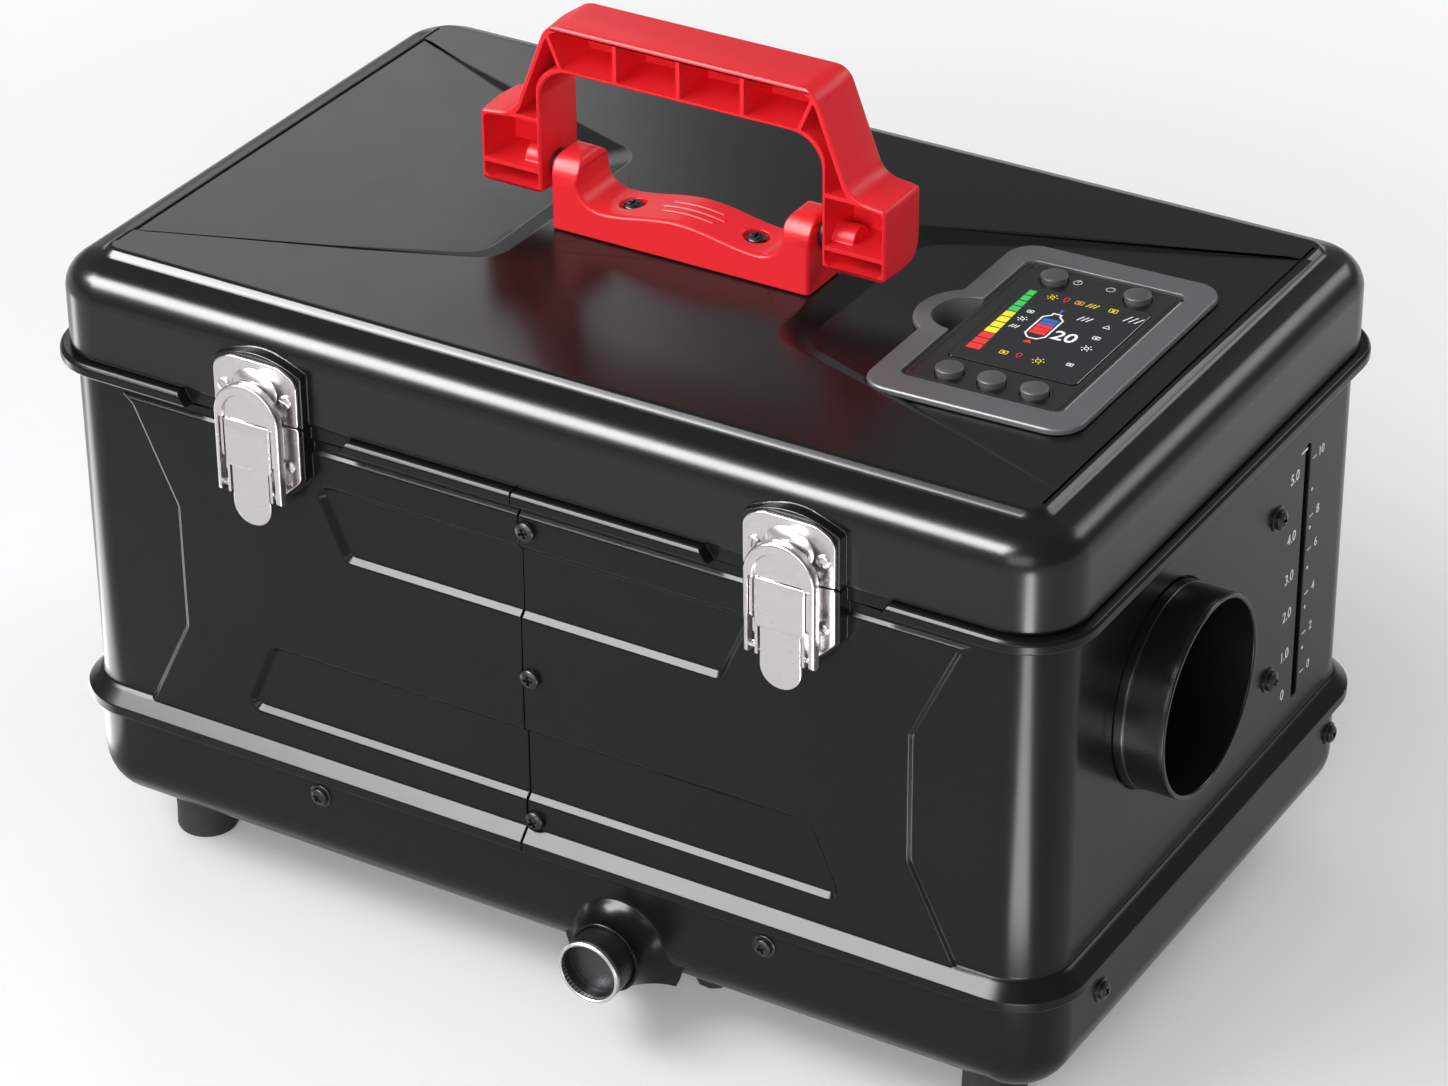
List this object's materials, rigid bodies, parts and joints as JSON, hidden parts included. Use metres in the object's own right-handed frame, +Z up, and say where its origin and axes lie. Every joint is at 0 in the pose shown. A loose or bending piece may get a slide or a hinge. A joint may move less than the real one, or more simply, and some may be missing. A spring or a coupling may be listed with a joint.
{
  "type": "diesel air heater",
  "caption": "Portable diesel air heater in a black moulded toolbox case with a folding carry handle, toggle latches, a round hot-air outlet, an exhaust tip and a lift-out display panel.",
  "frame": {"origin": "on the floor under the middle of the whole heater's bounding box", "axes": "+X towards the end with the hot-air outlet, -Y out of the front with the two latches, +Z up"},
  "size_m": [0.4384, 0.2922, 0.3366],
  "materials": {
    "case_black": "satin black moulded plastic",
    "lid_black": "fine-grained satin black plastic",
    "handle_red": "semi-gloss red plastic",
    "bezel_grey": "satin grey plastic",
    "controller_black": "gloss black plastic",
    "button_grey": "satin dark grey plastic",
    "display_glass": "clear lens over a colour display",
    "circuit_board": "green circuit board",
    "bright_nickel": "polished nickel-plated steel",
    "black_screws": "black zinc-plated steel",
    "bare_steel": "zinc-plated sheet steel",
    "cast_alloy": "die-cast aluminium",
    "exhaust_steel": "dark stainless steel",
    "black_rubber": "matte black rubber",
    "tank_white": "milky polyethylene",
    "fan_black": "black plastic"
  },
  "bodies": {
    "case": {"body_left": "case_black", "body_right": "case_black", "bottom_pan": "case_black", "foot_front_left": "black_rubber", "foot_front_right": "black_rubber", "foot_back_left": "black_rubber", "foot_back_right": "black_rubber", "hinge_pin_left": "bare_steel", "hinge_pin_right": "bare_steel", "latch_base_left": "bright_nickel", "latch_base_right": "bright_nickel", "hot_air_outlet": "case_black", "air_inlet_grille": "case_black", "exhaust_pipe": "exhaust_steel", "intake_pipe": "black_rubber", "heater_casing": "bare_steel", "heat_exchanger": "cast_alloy", "burner_tube": "exhaust_steel", "glow_plug": "bare_steel", "blower_housing": "cast_alloy", "blower_motor": "bare_steel", "chassis": "bare_steel", "fuel_tank": "tank_white", "fuel_pump": "black_screws", "pump_clamp": "black_rubber", "fuel_line_supply": "black_rubber", "fuel_line_feed": "black_rubber", "control_unit": "fan_black", "power_socket": "fan_black", "seam_screw_1": "black_screws", "seam_screw_2": "black_screws", "seam_screw_3": "black_screws"},
    "lid_assembly": {"lid": "lid_black", "lid_gasket": "black_rubber", "control_bezel": "bezel_grey", "handle_base": "handle_red", "handle_pin_left": "black_screws", "handle_pin_right": "black_screws", "handle_screw_left": "black_screws", "handle_screw_right": "black_screws", "latch_catch_left": "bright_nickel", "latch_catch_right": "bright_nickel"},
    "handle": {"carry_handle": "handle_red"},
    "controller": {"controller_housing": "controller_black", "controller_back": "controller_black", "controller_board": "circuit_board", "display_lens": "display_glass"},
    "front_left_button": {"button_front_left": "button_grey"},
    "front_middle_button": {"button_front_middle": "button_grey"},
    "front_right_button": {"button_front_right": "button_grey"},
    "back_left_button": {"button_back_left": "button_grey"},
    "back_right_button": {"button_back_right": "button_grey"},
    "left_lever": {"latch_lever_left": "bright_nickel"},
    "left_bail": {"latch_bail_left": "bright_nickel"},
    "right_lever": {"latch_lever_right": "bright_nickel"},
    "right_bail": {"latch_bail_right": "bright_nickel"},
    "tank_cap": {"fuel_cap": "handle_red"},
    "rotor": {"motor_shaft": "bare_steel", "air_fan": "fan_black", "combustion_impeller": "fan_black"}
  },
  "joints": [
    {"name": "lid_hinge", "type": "hinge", "parent": "case", "child": "lid_assembly", "pos_m": [0, 0.1421, 0.217], "axis": [-1, 0, 0], "range_deg": [0, 100]},
    {"name": "handle_fold", "type": "hinge", "parent": "lid_assembly", "child": "handle", "pos_m": [-0.00955, -0.0031, 0.276], "axis": [-1, 0, 0], "range_deg": [0, 90]},
    {"name": "controller_lift", "type": "slide", "parent": "lid_assembly", "child": "controller", "axis": [-0.0241, 0, 0.9997], "range_m": [0, 0.03]},
    {"name": "front_left_press", "type": "slide", "parent": "controller", "child": "front_left_button", "axis": [0.0241, 0, -0.9997], "range_m": [0, 0.0008], "stiffness_N_per_m": 800},
    {"name": "front_middle_press", "type": "slide", "parent": "controller", "child": "front_middle_button", "axis": [0.0241, 0, -0.9997], "range_m": [0, 0.0008], "stiffness_N_per_m": 800},
    {"name": "front_right_press", "type": "slide", "parent": "controller", "child": "front_right_button", "axis": [0.0241, 0, -0.9997], "range_m": [0, 0.0008], "stiffness_N_per_m": 800},
    {"name": "back_left_press", "type": "slide", "parent": "controller", "child": "back_left_button", "axis": [0.0241, 0, -0.9997], "range_m": [0, 0.0008], "stiffness_N_per_m": 800},
    {"name": "back_right_press", "type": "slide", "parent": "controller", "child": "back_right_button", "axis": [0.0241, 0, -0.9997], "range_m": [0, 0.0008], "stiffness_N_per_m": 800},
    {"name": "left_lever_turn", "type": "hinge", "parent": "case", "child": "left_lever", "pos_m": [-0.11605, -0.1349, 0.216], "axis": [-1, 0, 0], "range_deg": [0, 150]},
    {"name": "left_bail_turn", "type": "hinge", "parent": "left_lever", "child": "left_bail", "pos_m": [-0.11605, -0.1349, 0.1898], "axis": [-1, 0, 0], "range_deg": [-150, 0]},
    {"name": "right_lever_turn", "type": "hinge", "parent": "case", "child": "right_lever", "pos_m": [0.10355, -0.1349, 0.216], "axis": [-1, 0, 0], "range_deg": [0, 150]},
    {"name": "right_bail_turn", "type": "hinge", "parent": "right_lever", "child": "right_bail", "pos_m": [0.10355, -0.1349, 0.1898], "axis": [-1, 0, 0], "range_deg": [-150, 0]},
    {"name": "cap_turn", "type": "hinge", "parent": "case", "child": "tank_cap", "pos_m": [-0.07625, 0.0767, 0.21], "axis": [0, 0, 1], "range_deg": [0, 360]},
    {"name": "rotor_spin", "type": "hinge", "parent": "case", "child": "rotor", "pos_m": [-0.1, -0.0378, 0.155], "axis": [1, 0, 0], "continuous": true}
  ],
  "couplings": [
    {"joint": "left_bail_turn", "follows": "left_lever_turn", "ratio": -1},
    {"joint": "right_bail_turn", "follows": "right_lever_turn", "ratio": -1}
  ]
}
